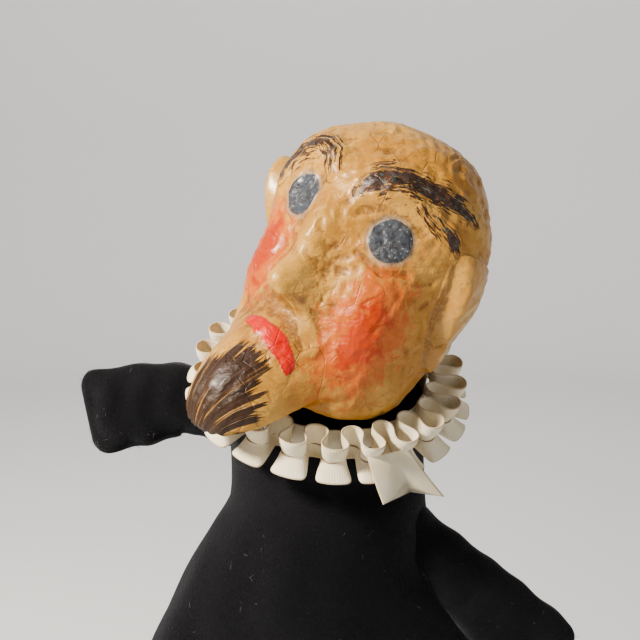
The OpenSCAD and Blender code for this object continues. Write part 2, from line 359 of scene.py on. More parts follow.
def felt_finish(name, colour, dust):
    """Black wool felt: matt, cloudy with pressed fibres, specked with pale dust."""
    f = Finish(name, Sheen_Weight=0.22, Sheen_Roughness=0.4, Sheen_Tint=(0.7, 0.72, 0.8, 1),
               Specular_IOR_Level=0.12, Roughness=0.96)
    at = f.place()
    cloud = f.noise(at, 0.018, 4)
    fibre = f.noise(at, 0.0007, 3, 0.8)
    strand = f.noise(f.place((1, 0.3, 0.3)), 0.0008, 2, 2.0)
    specks = f.cells(at, 0.0075).step(0.045, 0.02) * f.noise(at, 0.011).step(0.5, 0.62)
    black = f.mix(cloud, colour, tinted(colour, 2.1, 0.002))
    black = f.mix(fibre.step(0.45, 0.75) * 0.55, black, tinted(colour, 3.4, 0.006))
    black = f.mix(specks * 0.7, black, dust)
    height = fibre + strand * 0.7 + cloud * 2.0
    return f.done(Base_Color=black, Normal=f.bump(height, 0.00045, 0.8))


def ruff_finish(name, colour, edge):
    """Cream ribbed cotton: fine ribs across the strip, a tan line at its edges, soft stains."""
    f = Finish(name, Sheen_Weight=0.15, Specular_IOR_Level=0.2, Roughness=0.9)
    along = f.node("ShaderNodeSeparateXYZ", None, {0: f.cloth_place()}, 0)
    across = f.mark("across")
    at = f.place()
    ribs = f.math("SINE", along * (TAU / 0.00075))
    weave = f.noise(at, 0.0005, 2)
    stain = f.noise(at, 0.012, 3, 0.5)
    rim = f.math("ABSOLUTE", across).step(0.90, 0.985)
    cream = f.mix(stain.step(0.35, 0.8), colour, tinted(colour, (0.88, 0.82, 0.68)))
    cream = f.mix(rim * 0.55, cream, edge)
    cream = f.mix(weave.step(0.55, 0.8) * 0.18, cream, edge)
    return f.done(Base_Color=cream, Normal=f.bump(ribs * 0.35 + weave, 0.00012, 0.8))


def lint_finish(name, dust):
    """Loose fibres: most near black, a few as pale as dust."""
    f = Finish(name, Roughness=0.95, Specular_IOR_Level=0.1)
    pale = f.noise(f.place(), 0.006, 2).step(0.56, 0.72)
    return f.done(Base_Color=f.mix(pale, (0.012, 0.012, 0.014), dust))


def thread_finish(name, colour):
    """Twisted thread: fine slanting ridges."""
    f = Finish(name, Roughness=0.85, Specular_IOR_Level=0.25)
    at = f.place()
    twist = f.noise(at, 0.0006, 2, 1.5)
    shade = f.mix(twist, colour, tinted(colour, 0.5))
    return f.done(Base_Color=shade, Normal=f.bump(twist, 0.0002, 0.7))


def card_finish(name, colour):
    """Raw grey-brown card: soft fibres and faint scuffs."""
    f = Finish(name, Roughness=0.85, Specular_IOR_Level=0.25)
    at = f.place((1, 1, 0.35))
    fibre = f.noise(at, 0.0012, 5, 1.0)
    blotch = f.noise(at, 0.01, 3)
    brown = f.mix(blotch, colour, tinted(colour, 0.72))
    brown = f.mix(fibre.step(0.5, 0.8) * 0.4, brown, tinted(colour, 1.4))
    return f.done(Base_Color=brown, Normal=f.bump(fibre, 0.0002, 0.5))


def paper_ground(f, looks, grime_and_shade):
    """The bare varnished paper: blotched ochre, cracked and creased, and brown where its third input is
    high: painted shade in the hollows of the head and ears, blotchy dirt on the plain paper.
    """
    at = f.place()
    cloud = f.noise(at, 0.022, 4, 0.4)
    brush = f.noise(f.place((0.45, 1, 1.6)), 0.0045, 4, 1.2)
    pale, ochre, umber = looks.pale_and_highlight_paint, looks.ochre_paint, looks.grime_and_shade
    skin = f.mix(cloud.step(0.3, 0.7), ochre, pale)
    skin = f.mix(brush.step(0.5, 0.75) * 0.45, skin, tinted(ochre, (0.82, 0.72, 0.55)))
    skin = f.mix(f.noise(at, 0.006, 3, 1.0).step(0.56, 0.72) * 0.35, skin, tinted(pale, 1.18))
    crease = f.cells(at, 0.0085, "DISTANCE_TO_EDGE")
    line = crease.step(0.05, 0.0) * f.noise(at, 0.014, 2).step(0.5, 0.62)
    # dark brown over the given amount: painted shade on the head and ears, where it is the hollow mark;
    # blotchy dirt on the plain paper, where it is noise
    dirt_and_shade = (grime_and_shade * (f.noise(at, 0.0022, 5, 1.4) * 1.7 + 0.05)).step(0.25, 1.15)
    skin = f.mix(dirt_and_shade * 0.75, skin, umber)
    skin = f.mix(line * 0.35, skin, umber)
    pits = f.cells(at, 0.0042).step(0.14, 0.04) * f.noise(at, 0.012).step(0.52, 0.68)
    skin = f.mix(pits * 0.6, skin, umber)
    height = (f.noise(at, 0.0055, 5, 0.9) + brush * 0.35 + f.noise(at, 0.0012, 3) * 0.12
              - line * 0.25 - pits * 0.3)
    return skin, height


def head_finish(name, looks):
    """The painted head.  Each painted feature is cut from a distance mark (in millimetres,
    below 0 inside it) whose edge is broken up with noise; the beard's strokes follow the fan
    and reach marks, the brows' the run and width marks."""
    f = Finish(name, Specular_IOR_Level=0.35, Coat_Roughness=0.26, Coat_IOR=1.45)
    at = f.place()
    # the ground is darkened by the hollow mark: painted shade in the hollows, the crease under the eyes
    # and under the head
    skin, height = paper_ground(f, looks, f.mark("hollow"))
    rough = f.noise(at, 0.004, 3)
    # cheeks and nose: dry red brushed over the ochre
    swept = f.noise(f.place((1.0, 1.0, 0.42)), 0.0032, 4, 1.6)
    blush = (f.mark("cheek") + (swept - 0.5) * 1.25 + (rough - 0.5) * 0.5)
    deep = (f.mark("cheek") + (f.noise(at, 0.007, 3, 1.0) - 0.5) * 1.6)
    skin = f.mix(blush.step(0.12, 0.62) * 0.72, skin, looks.cheek_paint)
    skin = f.mix(deep.step(0.66, 1.02) * 0.8, skin, looks.cheek_deep)
    nostril = (f.mark("nostril") + (rough - 0.5) * 0.7).step(0.3, 0.85)
    # painted highlight: a pale stroke along the raised fold beside the nose
    fold = (f.mark("ridge") + (rough - 0.5) * 0.6).step(0.35, 0.8)
    skin = f.mix(nostril * 0.6, skin, (0.16, 0.045, 0.022))
    skin = f.mix(fold * 0.55, skin, looks.pale_and_highlight_paint)
    # lips
    lip = (f.mark("lip") + (rough - 0.5) * 1.6).step(0.25, -0.25)
    red = f.mix(swept.step(0.4, 0.75), looks.lip_paint, (0.62, 0.06, 0.03))
    rim = f.mark("lip").step(-1.4, -0.4) * swept.step(0.35, 0.6)
    red = f.mix(rim * 0.55, red, (0.27, 0.018, 0.028))
    skin = f.mix(lip, skin, red)
    # eyes
    eye = f.mark("eye")
    ring = (eye + (rough - 0.5) * 1.6).step(2.6, 0.2) * 0.5
    disc = (eye + (rough - 0.5) * 1.3).step(0.35, -0.35)
    fleck = f.noise(at, 0.0013, 3, 1.0).step(0.56, 0.70)
    slate = f.mix(fleck, looks.eye_paint, (0.24, 0.26, 0.28))
    blotch = f.noise(at, 0.0030, 3, 1.0).step(0.46, 0.60)
    slate = f.mix(blotch * 0.75, slate, (0.012, 0.017, 0.026))
    skin = f.mix(ring, skin, (0.27, 0.25, 0.21))
    skin = f.mix(disc * 0.94, skin, slate)
    # brows: long dry strokes that thin out at their ends
    strand = f.noise(f.joined(f.mark("run") * 0.13, f.mark("side") * 0.75, 0.3), 1.0, 3, 0.7)
    bristle = f.noise(f.joined(f.mark("run") * 0.30, f.mark("side") * 2.1, 0.9), 1.0, 3, 0.4)
    brow_in = (f.mark("brow") + 2.3 + (strand - 0.5) * 23.0 + (bristle - 0.5) * 14.0).step(0.5, -0.6)
    patch = f.noise(at, 0.003, 3).step(0.4, 0.65)
    black = f.mix(patch, looks.hair_paint, (0.075, 0.034, 0.026))
    sheen = f.noise(at, 0.0022, 3, 1.0).step(0.56, 0.64) * f.mark("brow").step(-1.2, -3.0)
    black = f.mix(sheen * 0.65, black, (0.03, 0.10, 0.12))
    skin = f.mix(brow_in * 0.97, skin, black)
    # beard: strokes that fan out from the chin
    hair = f.noise(f.joined(f.mark("fan") * 17.0, f.mark("reach") * 0.055, 0.7), 1.0, 3, 0.35)
    fine = f.noise(f.joined(f.mark("fan") * 46.0, f.mark("reach") * 0.11, 0.1), 1.0, 2, 0.2)
    beard = f.mark("beard") + 1.2 + (hair - 0.5) * 24.0 + (fine - 0.5) * 13.0
    streak = f.noise(f.joined(f.mark("fan") * 26.0, f.mark("reach") * 0.07, 0.5), 1.0, 3, 0.6)
    worn = f.noise(at, 0.0034, 3, 1.0).step(0.57, 0.63) * f.mark("reach").step(30.0, 12.0)
    bare = (streak.step(0.60, 0.70) * 0.75).max(worn * 0.85)
    beard_in = beard.step(0.6, -1.0) * (1 - bare)
    dark = f.mix(fine.step(0.45, 0.7), looks.hair_paint, (0.060, 0.028, 0.020))
    skin = f.mix(beard_in * 0.96, skin, dark)
    paint = disc.max(brow_in).max(beard_in)
    gloss = 0.52 - rough * 0.22 + beard_in * 0.06 + f.mark("hollow") * 0.12
    coat = (f.noise(at, 0.02, 2) * 0.5 + 0.02) * (1 - f.mark("hollow") * 0.5)
    coat = coat * (1 - beard_in.max(brow_in) * 0.6)
    relief = height + paint * 0.18 + lip * 0.1 + strand * brow_in * 0.25 + hair * beard_in * 0.3
    return f.done(Base_Color=skin, Roughness=gloss, Coat_Weight=coat,
                  Normal=f.bump(relief, PAPER_BUMP, 0.75))


def plain_paper_finish(name, looks):
    """The same varnished paper without the painted face."""
    f = Finish(name, Specular_IOR_Level=0.45, Coat_Roughness=0.25, Coat_Weight=0.4)
    skin, height = paper_ground(f, looks, f.noise(f.place(), 0.009, 3) * 0.55)
    gloss = 0.55 - f.noise(f.place(), 0.004, 3) * 0.2
    return f.done(Base_Color=skin, Roughness=gloss, Normal=f.bump(height, PAPER_BUMP, 0.75))


def ear_finish(name, looks):
    """Paper ear: a painted highlight in pale paint on the rim, painted shade in brown in the bowl and
    the groove.
    """
    f = Finish(name, Specular_IOR_Level=0.45, Coat_Roughness=0.25, Coat_Weight=0.45)
    # the ground is darkened by the hollow mark: painted shade
    skin, height = paper_ground(f, looks, f.mark("hollow"))
    rough = f.noise(f.place(), 0.004, 3)
    # painted highlight: pale paint on the raised rim and crest
    rim = (f.mark("rim") + (rough - 0.5) * 0.8).step(0.45, 0.9)
    skin = f.mix(rim * 0.6, skin, looks.pale_and_highlight_paint)
    return f.done(Base_Color=skin, Roughness=0.55 - rough * 0.2,
                  Normal=f.bump(height, PAPER_BUMP, 0.75))


def wear(obj, material):
    """Gives a piece one material."""
    obj.data.materials.clear()
    obj.data.materials.append(material)
    return obj


# ---- the head's form -------------------------------------------------------------------
# Two overlapping balls make the skull, and rounded lumps raise the features along rays
# from the middle of the skull: target, width across, width up, power, height, paired.
SKULL_BALLS = [((0, -10, 69), (46, 41, 48)), ((0, -14, 42), (42.5, 36, 41))]
BALL_BLEND = 2.5
BEARD_UNDER = 7.0
LUMPS = [
    ((0, -65, -22), 29, 25, 1.5, 30, False), ((0, -50, 6), 23, 17, 1, 8, False),
    ((0, -68, 37), 11, 9.5, 1.1, 14, False), ((0, -56, 58), 9, 17, 1, 8, False),
    ((10, -56, 34), 6, 6, 1, 3, True), ((20, -43, 89), 17, 7, 1, 4, True),
    ((28, -37, 36), 15, 17, 1, 5, True), ((27, -37, 71), 8, 8, 1.2, 2, True),
    ((22, -38, 75), 11, 12, 1, -3, True), ((0, -59, 18), 14, 4, 1, 3.5, False),
    ((0, -58, 8), 12, 4.5, 1, 3.5, False), ((36, -6, 22), 18, 18, 1, 5, True),
]
# Fuller paper over the shell, on the same terms; it fades in over FULLER_SPAN degrees up
# from the neck's rim
FULLER_FROM, FULLER_SPAN = 22, 16
FULLER = [
    ((28, -28, 0), 28, 20, 1, 15, True), ((0, -42, -16), 30, 20, 1, 7, False),
    ((-36, -26, 84), 24, 26, 1, 9, False), ((-30, -36, 60), 14, 18, 1, 3, False),
]
RIM_ANGLE = 20.4
SHELL_WALL = 4.0
INNER_BALL = ((0, -2, 66), (42, 38, 52))
# Raised paint and modelling on the skin, in millimetres
BROW_PAINT, LIP_SWELL, FOLD_RISE, CREASE_SINK, EYE_PAINT, BEARD_STROKES = 0.5, 0.7, 0.9, 0.7, 0.5, 0.35
# Features painted on the face, as (x, z) in the head's own frame with half widths
NEAR_BROW = [(9, 82.5, 4.6), (11, 87, 7.6), (15, 91.5, 8.8), (21, 94.4, 8.0), (28, 94.4, 7.2),
             (34, 93.4, 6.4), (38.3, 92.2, 5.2), (41, 89.5, 3.2)]
BROW_TAIL = [(30, 89, 2.4), (34, 86, 4.4), (38, 83, 4.6), (41.5, 79.5, 4.0), (43.2, 76, 2.2)]
FAR_BROW = [(-38, 76, 5.0), (-36, 84, 6.6), (-30, 91, 7.6), (-21, 95, 6.6), (-13, 93, 5.0),
            (-7, 84, 2.4)]
LIP_PATH = [(-12, 17.5, 2.0), (-4, 18.5, 3.4), (2, 18.5, 4.0), (8, 17, 4.2), (13.5, 14, 3.7),
            (17, 10.5, 2.6), (18.5, 7.5, 1.0)]
BEARD_PATH = [(4, 7, 7), (5, -1, 13.5), (3, -12, 19), (0, -21, 15)]
FOLD_PATH = [(4.7, 35, 1.4), (9.7, 30, 2.0), (19.4, 19, 1.6)]
UNDER_EYE = [(18, 61, 0.9), (28, 57.6, 1.1), (35, 60.7, 0.8)]
EYES = [((26.5, 70.5), 8.8), ((-18, 72), 8.8)]
BEARD_TIP = (-5, -30)
CHEEKS = [(33, 33, (15, 18, 25)), (-27, 44, (13, 16, 20))]
NOSTRILS = [(9, 35, (4, 5, 3)), (-7, 33, (4, 5, 3))]


def rays(down, around):
    """Directions from angles in degrees: down 0 is straight down, around 0 is forward."""
    down, around = np.radians(down), np.radians(around)
    flat = np.sin(down)
    return np.stack([flat * np.sin(around), -flat * np.cos(around),
                     -np.cos(down) + 0 * around], -1)


def ball_reach(way, centre, radii):
    """Far root of the ray against an ellipsoid that holds its start."""
    o = (SKULL_MIDDLE - centre) / radii
    v = way / np.asarray(radii, float)
    a, b, c = (v * v).sum(-1), v @ o, o @ o - 1
    return (-b + np.sqrt(b * b - a * c)) / a


def lump_at(way, target, across, up, power):
    """exp(-(u^2 + v^2)^power), u and v being the angles off the target as arcs over widths."""
    middle = np.asarray(target, float) - SKULL_MIDDLE
    reach = np.linalg.norm(middle)
    n = middle / reach
    side = np.cross(n, [0, 0, 1])
    side /= np.linalg.norm(side)
    rise_way = np.cross(side, n)
    c = way @ n
    safe = np.maximum(c, 1e-6)
    u = np.arctan2(way @ side, safe) * reach / across
    rise = np.arctan2(way @ rise_way, safe) * reach
    v = rise / np.where((target[2] < 0) & (rise < 0), BEARD_UNDER, up)
    return np.where(c > 0, np.exp(-((u * u + v * v) ** power)), 0)


def lumps_at(way, lumps):
    """Sum of the lumps' heights along the rays, paired ones on both sides of the face."""
    total = 0
    for target, across, up, power, height, paired in lumps:
        total = total + height * lump_at(way, target, across, up, power)
        if paired:
            flipped = (-target[0], target[1], target[2])
            total = total + height * lump_at(way, flipped, across, up, power)
    return total


def head_reach(way):
    """Distance to the skin: a soft maximum of the two balls, plus every lump."""
    balls = BALL_BLEND * np.log(sum(np.exp(ball_reach(way, np.array(c), r) / BALL_BLEND)
                                    for c, r in SKULL_BALLS))
    down = np.degrees(np.arccos(np.clip(-way[..., 2], -1, 1)))
    clear = np.clip((down - FULLER_FROM) / FULLER_SPAN, 0, 1)
    return balls + lumps_at(way, LUMPS) + clear * lumps_at(way, FULLER)


def face_point(x, z):
    """The frontmost point of the skin with that x and z."""
    forward = np.linspace(0, 100, 801)
    p = np.stack([np.full_like(forward, x), -forward, np.full_like(forward, z)], -1)
    q = p - SKULL_MIDDLE
    far = np.linalg.norm(q, axis=-1)
    inside = far < head_reach(q / far[:, None])
    return p[np.flatnonzero(inside)[-1]] if inside.any() else p[200]


def stroke_marks(points, path):
    """Distance to a brush stroke with changing half width, the length run along it and the
    distance off its middle line."""
    line = np.array([face_point(x, z) for x, z, _ in path])
    half = np.array([w for _, _, w in path], float)
    best = np.full(points.shape[:-1], 1e3)
    run, side, walked = np.zeros_like(best), np.zeros_like(best), 0.0
    for a, b, wa, wb in zip(line[:-1], line[1:], half[:-1], half[1:]):
        d = b - a
        length = np.linalg.norm(d)
        t = np.clip(((points - a) @ d) / length ** 2, 0, 1)
        off = np.linalg.norm(points - a - t[..., None] * d, axis=-1)
        gap = off - (wa + (wb - wa) * t)
        near = gap < best
        best = np.where(near, gap, best)
        run = np.where(near, walked + t * length, run)
        hand = np.sign((points - a)[..., 2] * d[0] - (points - a)[..., 0] * d[2])
        side = np.where(near, off * hand, side)
        walked += length
    return best, run, side


def soft_spot(points, x, z, radii):
    """1 at a place on the face, falling off as a bell with those radii."""
    q = (points - face_point(x, z)) / np.asarray(radii, float)
    return np.exp(-(q * q).sum(-1))


def paper_relief(points, depth):
    """Creased layers of paper: broad dents, plus ridges where a finer wave crosses zero."""
    broad = waves(points, 3, 14, 46, 20)
    ridge = 1 - np.abs(waves(points + 3 * waves(points, 5, 6, 40, 22)[..., None], 7, 18, 17, 7))
    fine = waves(points, 11, 24, 7, 3.2)
    return depth * (broad * 1.1 + (ridge - 0.5) * 0.75 + fine * 0.22)


def hollows(grid, normals):
    """How far neighbours stand above each point, at two spans, as 0 to 1."""
    total = 0
    for span, scale in ((4, 0.16), (11, 1.0)):
        rows = np.pad(grid, ((span, span), (0, 0), (0, 0)), mode="edge")
        mean = (rows[2 * span:] + rows[:-2 * span]
                + np.roll(grid, span, 1) + np.roll(grid, -span, 1)) / 4
        total = total + np.clip(((mean - grid) * normals).sum(-1) / scale, 0, 1)
    return np.clip(total * 0.6, 0, 1)


def face_marks(skin):
    """Distances to the painted features, in millimetres and below 0 inside them, the run and
    side of the brows' strokes, the fan and reach of the beard's, and soft spots of red."""
    near, near_run, near_side = stroke_marks(skin, NEAR_BROW)
    far, far_run, far_side = stroke_marks(skin, FAR_BROW)
    tail, tail_run, tail_side = stroke_marks(skin, BROW_TAIL)
    near_run = np.where(tail < near, tail_run + 90, near_run)
    near_side = np.where(tail < near, tail_side, near_side)
    near = np.minimum(near, tail)
    off = skin - face_point(*BEARD_TIP)
    left, right = (soft_spot(skin, *spot) for spot in CHEEKS)
    nostrils = [soft_spot(skin, *spot) for spot in NOSTRILS]
    return {
        "eye": np.minimum(*(np.linalg.norm(skin - face_point(x, z), axis=-1) - r for (x, z), r in EYES)),
        "brow": np.minimum(near, far),
        "run": np.where(near < far, near_run, far_run + 50),
        "side": np.where(near < far, near_side, far_side),
        "lip": stroke_marks(skin, LIP_PATH)[0],
        "beard": stroke_marks(skin, BEARD_PATH)[0],
        "fan": np.arctan2(off[..., 0] - 2, off[..., 2] + 10),
        "reach": np.linalg.norm(off, axis=-1),
        "cheek": 1.15 * (left + right),
        "nostril": nostrils[0] + nostrils[1],
        "ridge": np.clip(1 - stroke_marks(skin, FOLD_PATH)[0] / 2.5, 0, 1),
    }


def build_head(looks):
    """The painted shell: the inner skin from crown to rim, then the outer skin with its
    paper relief and raised paint, on a grid that is finer towards the face."""
    cols, outer_rows, inner_rows = 400, 214, 22
    t = np.linspace(0, 360, cols, endpoint=False)
    around = (t - np.degrees(0.38 * np.sin(np.radians(t))))[None]
    down = np.linspace(RIM_ANGLE, 180, outer_rows + 1)[:-1, None]
    way = rays(down, around)
    reach = head_reach(way)
    skin = SKULL_MIDDLE + way * reach[..., None]
    marks = face_marks(skin)
    crease = np.clip(1 - stroke_marks(skin, UNDER_EYE)[0] / 1.5, 0, 1)
    front = np.clip((down - 24) / 20, 0, 1) * np.clip((176 - down) / 10, 0, 1)
    strokes = np.sin(marks["fan"] * 34 + waves(skin, 2, 8, 20, 9)) * np.clip(-marks["beard"] / 3, 0, 1)
    lift = (paper_relief(skin, looks.paper_depth) * front
            + BROW_PAINT * np.clip(1 - marks["brow"], 0, 1)
            + LIP_SWELL * np.clip(0.6 - marks["lip"], 0, 1.4)
            + FOLD_RISE * marks["ridge"] - CREASE_SINK * crease
            + EYE_PAINT * np.clip(0.5 - marks["eye"], 0, 1) + BEARD_STROKES * strokes)
    skin = SKULL_MIDDLE + way * (reach + lift)[..., None]
    # painted shade: the hollow mark darkens the paint in the hollows of the skin, in the crease under
    # the eyes and towards the neck's rim under the head
    shade_by_rim = np.clip((48 - down) / 22, 0, 1)
    marks["hollow"] = np.clip(hollows(skin, grid_normals(skin)) + 0.7 * crease + 0.35 * shade_by_rim, 0, 1)
    way_in = rays(np.linspace(180, RIM_ANGLE, inner_rows + 1)[1:, None], around)
    centre, radii = INNER_BALL
    reach_in = np.minimum(head_reach(way_in) - SHELL_WALL, ball_reach(way_in, np.array(centre), radii))
    inner = SKULL_MIDDLE + way_in * reach_in[..., None]
    unpainted = dict.fromkeys(("eye", "brow", "lip", "beard"), 30.0)
    filled = {key: np.concatenate([np.full(inner.shape[:2], unpainted.get(key, 0.0)), values])
              for key, values in marks.items()}
    crown_in = [0, 0, inner[0, :, 2].mean()]
    crown = [0, 0, skin[-1, :, 2].mean() + 0.02]
    grid = on_head(np.concatenate([inner, skin]))
    poles = [(0, on_head(np.array(crown_in))), (len(grid) - 1, on_head(np.array(crown)))]
    return grid_object("head", grid, poles=poles, marks=filled)


def ear_form(side, v, u):
    """Rays, height, the part that takes a painted highlight, and a darker patch of an ear at (u, v) from
    -1 to 1 across and up it: a long rolled pad beside the face on the near side (1), a thin cup with a
    raised rim on the far side."""
    if side > 0:
        way = rays(87 + 31 * v, 87 - 8 * v + 24 * u)
        rise, fall = eased((u + 0.80) / 0.42), eased((1.0 - u) / 0.55)
        face = (8.0 - 3.0 * (u + 0.4)) * rise * fall * np.cos(np.pi / 2 * v) ** 0.55
        height = np.clip(face / 9.0, 0, 1)
        # the crest of the ridge is paled as a painted highlight
        crest = np.exp(-(((u + 0.30) / 0.26) ** 2))
        # a darker patch behind the crest
        dark_patch = 0.9 * np.exp(-(((u - 0.40) / 0.22) ** 2) - ((v - 0.35) / 0.3) ** 2)
        return way, face, height * crest, height, dark_patch
    way = rays(99 + 20 * v, -76 - 14 * u)
    off_middle = np.sqrt(u ** 2 + v ** 2)
    face = 15.5 * np.exp(-(((off_middle - 0.70) / 0.16) ** 2)) * (0.75 + 0.25 * v) + 1.5 * (1 - u * u)
    height = np.clip(face / 9.0, 0, 1)
    return way, face, height, height, 0 * face


def build_ear(name, side, looks):
    """An ear over the skull: columns run over the outer face and back under the skin, and
    rows run up."""
    rows, cols = 90, 70
    v = np.linspace(-1, 1, rows)[:, None]
    u = np.linspace(-1, 1, cols)[None]
    way, face, rim, height, dark_patch = ear_form(side, v, u)
    edge = np.clip((1 - u * u) * (1 - v * v) * 5, 0, 1)
    reach = head_reach(way)
    rough = paper_relief(SKULL_MIDDLE + way * reach[..., None], looks.paper_depth)
    lift = np.maximum(face, 0.6) * edge + rough * edge - 1.2 * (1 - edge)
    outer = SKULL_MIDDLE + way * (reach + lift)[..., None]
    under = SKULL_MIDDLE + way * (reach - 2.0)[..., None]
    # painted shade: darker where the ear lies low, in the groove beside the near ear's ridge and in the
    # far ear's bowl, plus the darker patch behind the crest
    dirt_and_shade = 0.8 * (np.clip(1 - height * 1.5, 0, 1) * edge + dark_patch)
    layers = (outer, under), (rim, 0 * rim), (dirt_and_shade, 0 * dirt_and_shade)
    grid, rim, dirt_and_shade = (np.concatenate([over, below[:, ::-1]], 1)[:, ::side] for over, below in layers)
    grid = on_head(grid)
    poles = [(0, grid[0].mean(0)), (rows - 1, grid[-1].mean(0))]
    return grid_object(name, grid, poles=poles, marks={"rim": rim, "hollow": dirt_and_shade})


# ---- ruff ------------------------------------------------------------------------------
RUFF_R = 49.5
LOOP_TURN = 1.80
PLEAT_STEPS = 44
LOWER_SHARE = 0.86


def loop_curve(turn, steps):
    """One pleat as a curve whose heading swings as turn * sin(2 pi t): its advance and its
    excursion for a strip one long, at the starts of the steps and at the end."""
    t = (np.arange(steps) + 0.5) / steps
    heading = turn * np.sin(TAU * t)
    run = np.concatenate([[0], np.cumsum(np.cos(heading))]) / steps
    out = np.concatenate([[0], np.cumsum(np.sin(heading))]) / steps
    return run, out - (out.max() + out.min()) / 2


def wander(count, seed, amount):
    """count values about 1, each drawn once and eased so that neighbours differ gently."""
    rng = np.random.default_rng(seed)
    raw = rng.normal(0, amount, count)
    return 1 + raw * 0.7 + np.roll(raw, 1) * 0.3


def ruff_grid(looks, heights):
    """Points of the pleated strip for heights from -1 (lower edge) to 1 (upper edge), and the
    strip's length in one pleat.  The pleats are pinched at the stitching, open into loops
    above it and flare out below."""
    pleats, width = looks.ruff_pleats, looks.ruff_width
    mid_run, _ = loop_curve(LOOP_TURN, PLEAT_STEPS)
    strip = TAU * RUFF_R / pleats / mid_run[-1]
    per_pleat = np.repeat(np.arange(pleats), PLEAT_STEPS)
    phase = np.tile(np.arange(PLEAT_STEPS), pleats)
    stretch = wander(pleats, 21, 0.10)
    start = np.cumsum(stretch) - stretch
    deep = wander(pleats, 22, 0.12)
    lean = np.random.default_rng(23).normal(0, 0.16, pleats)
    tall = wander(pleats, 24, 0.06)
    along = phase / PLEAT_STEPS
    ease = eased(along)

    def passed(values):
        return values[per_pleat] * (1 - ease) + values[(per_pleat + 1) % pleats] * ease

    rows = []
    for h in heights:
        above, below = max(0.0, h), max(0.0, -h)
        run, out = loop_curve(LOOP_TURN + 0.10 * above - 0.045 * below, PLEAT_STEPS)
        angle = TAU * (start[per_pleat] + stretch[per_pleat] * run[phase] / run[-1]) / stretch.sum()
        radius = RUFF_R * run[-1] / mid_run[-1] if below else RUFF_R + above
        pinch = 0.80 + 0.26 * min(1.0, abs(h) * 1.6)
        crown = out.max()
        square = crown * np.tanh(2.6 * out / crown) / np.tanh(2.6)
        flat = 0.85 * below ** 0.6
        loop = ((1 - flat) * out + flat * square)[phase] * strip * pinch * passed(deep)
        sag = 0.10 * loop * (1 if below else 0.4) * abs(h)
        r = radius + loop + 0.8 * below ** 2
        z = h * width / 2 * (LOWER_SHARE if below else passed(tall)) - sag + 2.8 * below ** 2
        turn = passed(lean) * h * 3.0 / RUFF_R - 0.14 * below * np.sin(TAU * along) * TAU / pleats
        rows.append(ring_points(r, angle + turn, z))
    return np.array(rows), strip


def build_ruff(looks):
    """The pleated cotton strip as a thin solid ring; its flat cut is the strip length of all
    the pleats by the strip's width."""
    width = looks.ruff_width
    heights = np.linspace(-1, 1, 15)
    face, strip = ruff_grid(looks, heights)
    length = strip * looks.ruff_pleats * MM
    n = grid_normals(face)
    thick = looks.cotton_thickness / 2
    grid = np.concatenate([face + n * thick, (face - n * thick)[::-1]])
    across = np.repeat(np.concatenate([heights, heights[::-1]])[:, None], grid.shape[1], 1)
    along = np.arange(grid.shape[1]) / grid.shape[1] * length
    uv = np.stack([np.repeat(along[None], len(grid), 0), across * width / 2 * MM], -1)
    obj = grid_object("ruff", on_ruff(grid), closed_rows=True, uv=uv, marks={"across": across})
    return obj, (length, width * MM)


def build_band():
    """The tape that the pleats are sewn to: a plain ring just inside their inner folds."""
    t = np.linspace(0, TAU, 180, endpoint=False)[None]
    z = np.linspace(-5, 5, 5)[:, None]
    ring = ring_points(41.6 + 0.25 * np.cos(23 * t), t, z)
    return grid_object("ruff_band", two_faced(on_ruff(ring), 0.7), closed_rows=True)


def build_ruff_end(looks):
    """The loose overlapping end of the strip: a short folded ribbon that drops outside the
    ruff at the puppet's left front; its middle line waves outwards as it falls."""
    rows, cols, length = 40, 26, 29.0
    s = np.linspace(0, 1, rows)[:, None]
    w = np.linspace(-1, 1, cols)[None]
    fold = np.abs(w * 1.7 - 0.45 + 0.5 * s)
    angle = np.radians(-65.0) + w * (0.16 + 0.05 * s) + 0.10 * s
    r = 56.5 + 6.0 * s + 5.5 * fold * s
    z = 4 - (12 + 3.5 * w) * s - 2.0 * fold * s
    face = ring_points(r, angle, z)[::-1]
    n = grid_normals(face, closed_cols=False)
    thick = looks.cotton_thickness / 2
    grid = np.concatenate([face + n * thick, (face - n * thick)[:, ::-1]], 1)
    across = np.concatenate([w + 0 * s, (w + 0 * s)[:, ::-1]], 1)
    uv = np.stack([s[::-1] * length * MM + 0 * across, across * 9 * MM], -1)
    grid = on_ruff(grid)
    poles = [(0, grid[0].mean(0)), (rows - 1, grid[-1].mean(0))]
    obj = grid_object("ruff_end", grid, poles=poles, uv=uv, marks={"across": across})
    return obj, (cloth_area(face, False) / (length * MM), length * MM)


def thread_ring(name, line, radius):
    """A round thread carried along a closed line of points: a circle in the plane square to
    the line's direction at each point."""
    along = rolled(line[None], 1, True)[0]
    along /= np.linalg.norm(along, axis=-1, keepdims=True)
    out = np.cross(along, np.array([0.05, 0.1, 1.0]))
    out /= np.linalg.norm(out, axis=-1, keepdims=True)
    up = np.cross(out, along)
    t = np.linspace(0, TAU, 8, endpoint=False)[:, None, None]
    ring = line[None] + radius * (np.cos(t) * out[None] + np.sin(t) * up[None])
    return grid_object(name, ring, closed_rows=True)


def build_stitches(looks):
    """The gathering thread: it follows the pleats' stitched line, pressed into them, and
    swells and sinks once for each stitch."""
    line = ruff_grid(looks, [0.0])[0][0]
    n = line / np.linalg.norm(line, axis=-1, keepdims=True)
    hop = 0.35 + 0.45 * np.sin(np.arange(len(line)) * TAU * 3 / PLEAT_STEPS)
    return thread_ring("ruff_stitches", on_ruff(line + n * hop[:, None]), 0.32)


